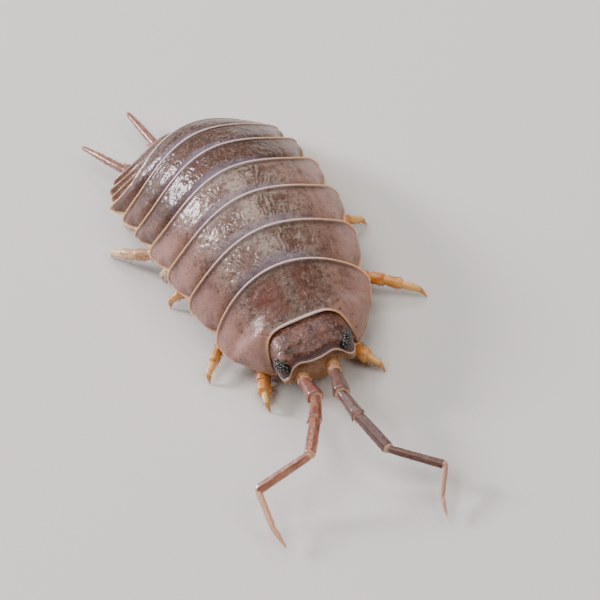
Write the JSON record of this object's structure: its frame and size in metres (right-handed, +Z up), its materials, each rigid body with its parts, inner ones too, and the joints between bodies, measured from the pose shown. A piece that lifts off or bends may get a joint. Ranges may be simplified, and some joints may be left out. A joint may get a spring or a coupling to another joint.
{
  "type": "woodlouse",
  "caption": "Life-size still model of a smooth woodlouse standing on all its legs, with arched overlapping shell plates, bent feelers and long tail limbs.",
  "frame": {"origin": "centre of the whole footprint, on the floor that the feet stand on", "axes": "+Z up, head towards -Y, tail towards +Y, the animal's left at +X"},
  "size_m": [0.0105, 0.0284, 0.0046],
  "materials": {
    "shell": "smooth glossy shell, mauve grey with brown mottling and pale rims",
    "head_shell": "finely grained dark brown shell",
    "eyes": "glossy black beads",
    "feelers": "satin pinkish brown with pale joints",
    "legs": "pale tan, slightly translucent, with short bristles",
    "underside": "pale cream soft shell"
  },
  "bodies": {
    "root": {"head": "head_shell", "eye_left": "eyes", "eye_right": "eyes", "mouthparts": "underside", "thorax_plate_1": "shell", "thorax_plate_2": "shell", "thorax_plate_3": "shell", "thorax_plate_4": "shell", "thorax_plate_5": "shell", "thorax_plate_6": "shell", "thorax_plate_7": "shell", "abdomen_plate_1": "shell", "abdomen_plate_2": "shell", "abdomen_plate_3": "shell", "abdomen_plate_4": "shell", "abdomen_plate_5": "shell", "telson": "shell", "gill_plates": "underside", "antenna_left": "feelers", "antenna_right": "feelers", "uropod_left": "feelers", "uropod_right": "feelers", "leg_left_1": "legs", "leg_left_2": "legs", "leg_left_3": "legs", "leg_left_4": "legs", "leg_left_5": "legs", "leg_left_6": "legs", "leg_left_7": "legs", "leg_right_1": "legs", "leg_right_2": "legs", "leg_right_3": "legs", "leg_right_4": "legs", "leg_right_5": "legs", "leg_right_6": "legs", "leg_right_7": "legs"}
  },
  "joints": []
}
